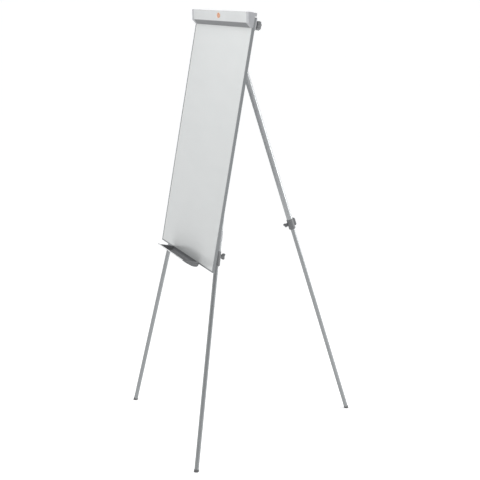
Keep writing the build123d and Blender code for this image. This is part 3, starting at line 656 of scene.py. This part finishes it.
knob_profile = [
    (0, 26.0), (5.1, 26.0), (5.1, 0.3), (5.6, 0.0), (13.6, 0.0), (14.6, 0.4), (15.0, 1.4), (15.0, 5.6),
    (14.6, 6.6), (13.6, 7.0), (10.6, 7.1), (9.9, 7.6), (9.7, 8.4), (9.9, 9.4), (10.8, 10.2),
    (15.6, 10.6), (17.2, 11.2), (17.8, 12.2), (18.0, 13.6), (18.0, 23.6), (17.7, 25.2),
    (16.9, 26.5), (15.4, 27.2), (13.4, 27.5), (12.4, 27.3), (11.9, 26.8), (11.4, 26.7),
    (10.9, 26.9), (10.3, 27.3), (6.0, 27.5), (0, 27.5),
]
knob_profile = [(mm(radius), mm(height)) for radius, height in knob_profile]
for side in ("left", "right"):
    joint = joints[f"knob_{side}_turn"]
    place = axis_space(joint["axis"], joint["pos_m"])
    low, high = span(f"knob_{side}", place)
    bm = bmesh.new()
    turned(bm, place @ Matrix.Translation((0, 0, low.z)), knob_profile, 144, fluted)
    knob = mesh_object(f"knob_head_{side}", bm)
    dress(knob, knob_plastic, "dark_grey_plastic", f"knob_{side}", f"knob_{side}")
    crisp(knob, 32)
    print(f"{side} knob {1000 * (high.z - low.z):.1f} mm long")

# %% [markdown]
# A wing screw's head is a hub with two rounded ears. The ears swell out of the hub without a
# seam, as clay would, and a voxel remesh gives just that: it melts a turned hub and two flat
# ears into one skin, which a little smoothing then relaxes.

# %% Wing heads
def wing_direction(node, place):
    """The angle, in the turned space, along which the wings reach furthest."""
    points = points_in(node, place)

    def reach(angle):
        along = [p.x * cos(angle) + p.y * sin(angle) for p in points]
        return max(along) - min(along)

    return max((radians(step) for step in range(180)), key=reach)


ear_outline = [
    (0.0, 0.3), (7.0, 0.4), (10.2, 1.2), (12.0, 3.2), (12.5, 6.4), (12.5, 10.0), (12.0, 12.2),
    (10.6, 13.6), (8.4, 14.0), (5.6, 13.5), (3.0, 12.9), (0.0, 12.7),
]
hub_profile = [
    (0, 0), (5.2, 0), (5.9, 0.6), (6.0, 3.0), (5.6, 8.0), (5.0, 11.0), (3.6, 12.6), (0, 12.9),
]
ear_half = 2.7
grain = mm(0.4)


def flat_ear(bm, seat, side):
    """One ear as a thick plate, on one side of the hub."""
    faces = []
    for offset in (-ear_half, ear_half):
        points = [Vector((mm(side * x), mm(offset), mm(z))) for x, z in ear_outline]
        faces.append([bm.verts.new(seat @ point) for point in points])
    bm.faces.new(faces[0])
    bm.faces.new(reversed(faces[1]))
    for i in range(len(ear_outline)):
        j = (i + 1) % len(ear_outline)
        bm.faces.new((faces[0][i], faces[0][j], faces[1][j], faces[1][i]))


for name in leg_names:
    joint = joints[f"clamp_wing_{name}_turn"]
    place = axis_space(joint["axis"], joint["pos_m"])
    low, high = span(f"wing_head_{name}", place)
    turn = Matrix.Rotation(wing_direction(f"wing_head_{name}", place), 4, "Z")
    seat = place @ Matrix.Translation((0, 0, low.z)) @ turn
    bm = bmesh.new()
    turned(bm, seat, [(mm(radius), mm(height)) for radius, height in hub_profile], 40)
    for side in (-1, 1):
        flat_ear(bm, seat, side)
    bmesh.ops.recalc_face_normals(bm, faces=bm.faces)
    wing = mesh_object(f"wing_{name}", bm)
    skin = wing.modifiers.new("skin", "REMESH")
    skin.mode = "VOXEL"
    skin.voxel_size = grain
    skin.use_smooth_shade = True
    relax = wing.modifiers.new("relax", "SMOOTH")
    relax.factor = 0.5
    relax.iterations = 8
    dress(wing, dark_plastic, "dark_grey_plastic", f"clamp_wing_{name}", f"wing_head_{name}")
    print(f"{name} wing {1000 * (high.z - low.z):.1f} mm long")

# %% [markdown]
# The feet are moulded rubber plugs with three grooves for grip, and they stand flat where they
# meet the floor. The plug is turned about its leg and then cut by the floor's plane, so it stands
# flat although the leg leans.

# %% Rubber feet
foot_radius = mm(10.0)
groove_depth = mm(0.55)
groove_levels = [-7.4, -4.9, -2.4]
foot_rim = [(0.0, -0.8), (0.3, -0.25), (1.0, -0.02)]
for name in leg_names:
    tube = f"lower_tube_{name}"
    along = axis_space(leg_up[name], (0, 0, 0))
    low, high = span(tube, along)
    middle = Vector(((low.x + high.x) / 2, (low.y + high.y) / 2, low.z))
    seat = along @ Matrix.Translation(middle)
    foot_low = span(f"foot_{name}", along)[0]
    under_floor = foot_low.z - low.z - mm(2)
    profile = [(0, under_floor), (foot_radius, under_floor)]
    for level in groove_levels:
        profile += [
            (foot_radius, mm(level)),
            (foot_radius - groove_depth, mm(level + 0.35)),
            (foot_radius - groove_depth, mm(level + 0.75)),
            (foot_radius, mm(level + 1.1)),
        ]
    profile += [(foot_radius - mm(inset), mm(level)) for inset, level in foot_rim]
    profile.append((0, profile[-1][1]))
    bm = bmesh.new()
    turned(bm, seat, profile, 64)
    everything = bm.verts[:] + bm.edges[:] + bm.faces[:]
    cut = bmesh.ops.bisect_plane(
        bm, geom=everything, plane_co=(0, 0, 0), plane_no=(0, 0, -1), clear_outer=True
    )
    rim = [item for item in cut["geom_cut"] if isinstance(item, bmesh.types.BMEdge)]
    bmesh.ops.holes_fill(bm, edges=rim)
    bmesh.ops.recalc_face_normals(bm, faces=bm.faces)
    foot = mesh_object(f"foot_plug_{name}", bm)
    dress(foot, foot_rubber, "foot_rubber", f"lower_leg_{name}", f"foot_{name}")
    crisp(foot, 30)
    print(f"{name} foot, {len(foot.data.polygons)} faces")

# %% [markdown]
# The clip that holds each front leg is one springy moulding: a foot on the board, a wall beside
# the leg and a lip that hugs the leg's back. The leg leaves it sideways, so the lip stops just
# past the leg's middle. Its section is drawn as a closed outline and pushed along the leg, and a
# bevel modifier rounds the edges as a mould would.

# %% Leg clips
play = mm(0.6)
lip_thickness = mm(1.1)
clip_foot = mm(3.0)
fillet = [(3.2, 0.0), (1.9, 0.6), (1.4, 2.0)]
arc = [radians(10 * step) for step in range(11)]
for side in ("left", "right"):
    along = leg_up[side]
    behind = -board_space.col[2].xyz
    outward = along.cross(behind).normalized()
    if outward.x * (1 if side == "right" else -1) < 0:
        outward = -outward
    frame_of_leg = Matrix((outward, behind, along)).transposed().to_4x4()
    tube_low, tube_high = span(f"upper_tube_{side}", frame_of_leg)
    clip_low, clip_high = span(f"leg_clip_{side}", frame_of_leg)
    tube_radius = (tube_high.y - tube_low.y) / 2
    middle_x = (tube_low.x + tube_high.x) / 2
    middle_y = (tube_low.y + tube_high.y) / 2
    inner = tube_radius + play
    foot_top = clip_low.y + clip_foot
    section = [(clip_high.x, clip_low.y), (clip_high.x, foot_top)]
    section += [(middle_x + inner + mm(out), foot_top + mm(up)) for out, up in fillet]
    for angle in arc:
        reach = inner + lip_thickness
        section.append((middle_x + reach * cos(angle), middle_y + reach * sin(angle)))
    for angle in reversed(arc):
        section.append((middle_x + inner * cos(angle), middle_y + inner * sin(angle)))
    section.append((middle_x + inner, clip_low.y))
    bm = bmesh.new()
    ends = []
    for level in (clip_low.z, clip_high.z):
        ends.append([bm.verts.new(frame_of_leg @ Vector((x, y, level))) for x, y in section])
    bm.faces.new(ends[0])
    bm.faces.new(reversed(ends[1]))
    for i in range(len(section)):
        j = (i + 1) % len(section)
        bm.faces.new((ends[0][i], ends[0][j], ends[1][j], ends[1][i]))
    bmesh.ops.recalc_face_normals(bm, faces=bm.faces)
    clip = mesh_object(f"spring_clip_{side}", bm, smooth=False)
    rounding = clip.modifiers.new("rounding", "BEVEL")
    rounding.width = mm(0.35)
    rounding.segments = 2
    rounding.limit_method = "ANGLE"
    rounding.angle_limit = radians(40)
    dress(clip, light_plastic, "light_grey_plastic", "board", f"leg_clip_{side}")
    print(f"{side} clip, {1000 * (clip_high.z - clip_low.z):.0f} mm along the leg")

# %% [markdown]
# The badge is a plain oval: a glossy orange dome in a pale rim. Both take their size and their
# slant from the CAD badge. A round shape is turned first and then squeezed into the oval, with
# its profile's radii written as shares of the oval's half-widths.

# %% Badge
badge_low, badge_high = span("accent_badge", board_space)
badge_middle = (badge_low + badge_high) / 2
badge_normal = Vector((0, 0, 0))
for face in nodes["accent_badge"].data.polygons:
    badge_normal += max(face.normal.dot(board_space.col[2].xyz), 0) * face.area * face.normal
badge_place = space((1, 0, 0), badge_normal.cross(Vector((1, 0, 0))), board_space @ badge_middle)
half_low, half_high = span("accent_badge", badge_place)
squeeze = Matrix.Diagonal((half_high.x, half_high.y, 1, 1))
base = half_low.z
rim_profile = [
    (0.78, 0.0), (0.99, 0.0), (1.0, 0.5), (0.97, 1.0), (0.92, 1.15), (0.87, 1.0), (0.84, 0.6),
    (0.78, 0.0),
]
dome_profile = [
    (0, 0.0), (0.82, 0.0), (0.825, 0.45), (0.76, 0.75), (0.56, 1.0), (0.28, 1.13), (0, 1.17),
]
for name, profile, finish, stands_for in (
    ("badge_rim", rim_profile, peach, []),
    ("badge_dome", dome_profile, orange, ["accent_badge"]),
):
    bm = bmesh.new()
    turned(bm, badge_place @ squeeze, [(share, base + mm(level)) for share, level in profile], 64)
    bmesh.ops.remove_doubles(bm, verts=bm.verts, dist=mm(0.001))
    oval = mesh_object(name, bm)
    dress(oval, finish, "badge_orange", "clamp_bar", *stands_for)
print(f"badge {2000 * half_high.x:.0f} by {2000 * half_high.y:.0f} mm")
